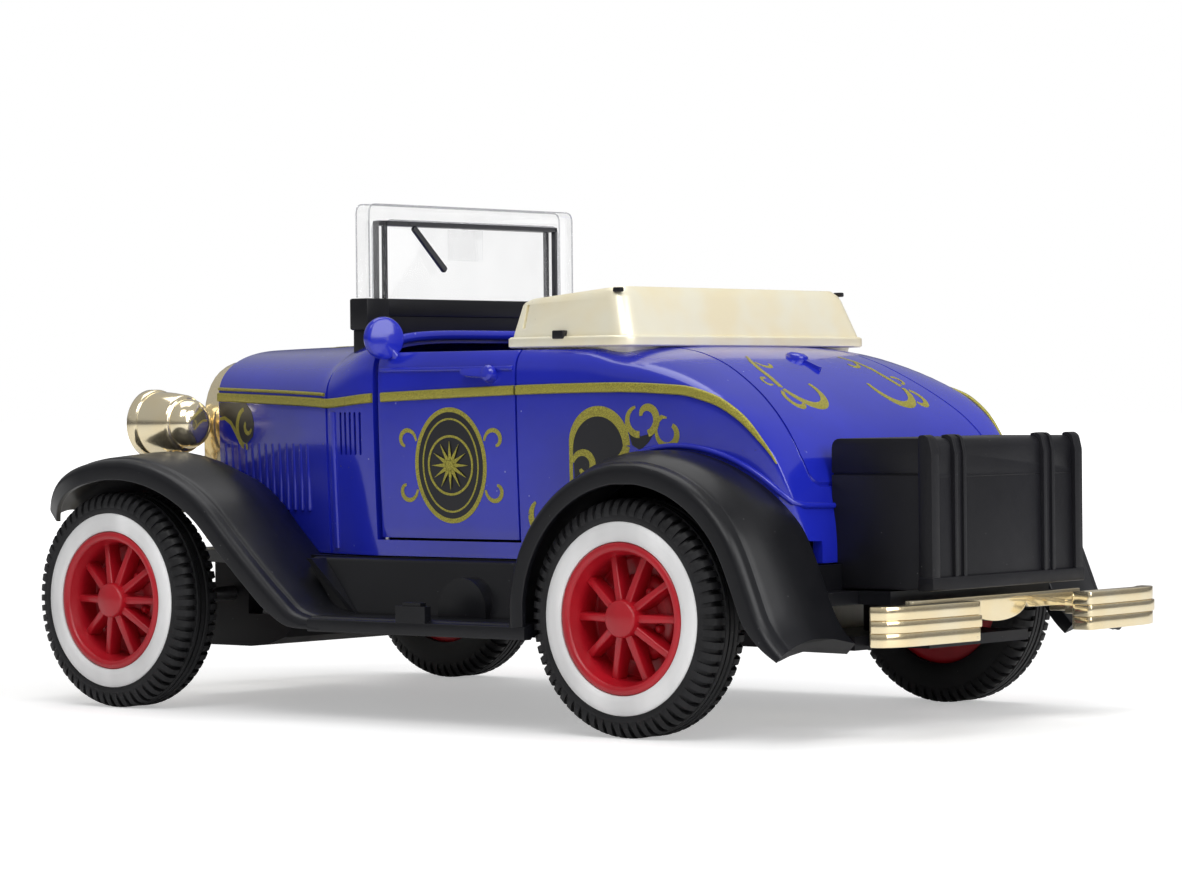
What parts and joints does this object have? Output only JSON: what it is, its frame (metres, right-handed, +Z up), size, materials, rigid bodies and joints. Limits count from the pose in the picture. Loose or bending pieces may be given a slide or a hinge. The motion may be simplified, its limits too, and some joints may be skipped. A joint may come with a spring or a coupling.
{
  "type": "pull back car",
  "caption": "Toy open roadster with a pull back motor: opening doors, spoked wheels with white walls, a folded soft top cover and a luggage trunk at the tail.",
  "frame": {"origin": "on the ground, under the middle of the car's length and width", "axes": "+X to the car's front, +Y to the car's left, +Z up; the wheels turn about Y"},
  "size_m": [0.136, 0.0692, 0.0621],
  "materials": {
    "paint": "deep royal blue gloss enamel on a diecast shell, with an old gold belt line",
    "black_plastic": "black moulded plastic, satin",
    "gold": "pale champagne gold plating on plastic",
    "red_plastic": "red moulded plastic, half gloss",
    "white_plastic": "white moulded ring, satin",
    "tyre": "black soft plastic tyre with tread lugs",
    "clear": "clear moulded plastic",
    "lens": "clear fluted lens",
    "steel": "bright drawn steel",
    "motor_plastic": "ivory moulded motor case",
    "gear_plastic": "natural acetal gears"
  },
  "bodies": {
    "car": {"body_shell": "paint", "door_pin_left": "steel", "door_pin_right": "steel", "interior_tub": "black_plastic", "dashboard": "black_plastic", "steering_wheel": "black_plastic", "windscreen": "clear", "windscreen_frame": "black_plastic", "soft_top": "gold", "radiator_shell": "gold", "radiator_core": "black_plastic", "headlight_left": "gold", "headlight_right": "gold", "headlight_lens_left": "lens", "headlight_lens_right": "lens", "headlight_bar": "gold", "front_bumper": "gold", "fender_moulding": "black_plastic", "base_plate": "black_plastic", "body_screws": "steel", "luggage_trunk": "black_plastic", "rear_bumper": "gold", "motor_case_left": "motor_plastic", "motor_case_right": "motor_plastic", "mainspring": "steel"},
    "front_wheels": {"front_axle": "steel", "wheel_front_left": "red_plastic", "wheel_front_right": "red_plastic", "whitewall_front_left": "white_plastic", "whitewall_front_right": "white_plastic", "tyre_front_left": "tyre", "tyre_front_right": "tyre"},
    "rear_wheels": {"rear_axle": "steel", "axle_pinion": "gear_plastic", "wheel_rear_left": "red_plastic", "wheel_rear_right": "red_plastic", "whitewall_rear_left": "white_plastic", "whitewall_rear_right": "white_plastic", "tyre_rear_left": "tyre", "tyre_rear_right": "tyre"},
    "left_door": {"door_left": "paint"},
    "right_door": {"door_right": "paint"},
    "idler": {"idler_gear": "gear_plastic"},
    "spring_drive": {"spring_gear": "gear_plastic"}
  },
  "joints": [
    {"name": "front_wheels_spin", "type": "hinge", "parent": "car", "child": "front_wheels", "pos_m": [0.047, 0, 0.0134], "axis": [0, 1, 0], "continuous": true},
    {"name": "rear_wheels_spin", "type": "hinge", "parent": "car", "child": "rear_wheels", "pos_m": [-0.035, 0, 0.0134], "axis": [0, 1, 0], "continuous": true},
    {"name": "left_door_swing", "type": "hinge", "parent": "car", "child": "left_door", "pos_m": [0.0093, 0.0238, 0.03], "axis": [0, 0, -1], "range_deg": [0, 60]},
    {"name": "right_door_swing", "type": "hinge", "parent": "car", "child": "right_door", "pos_m": [0.0093, -0.0238, 0.03], "axis": [0, 0, 1], "range_deg": [0, 60]},
    {"name": "idler_spin", "type": "hinge", "parent": "car", "child": "idler", "pos_m": [-0.02819, 0, 0.0176], "axis": [0, 1, 0], "continuous": true},
    {"name": "spring_spin", "type": "hinge", "parent": "car", "child": "spring_drive", "pos_m": [-0.01724, 0, 0.0166], "axis": [0, 1, 0], "continuous": true}
  ],
  "couplings": [
    {"joint": "idler_spin", "follows": "rear_wheels_spin", "ratio": -0.6},
    {"joint": "spring_spin", "follows": "rear_wheels_spin", "ratio": 0.5}
  ]
}
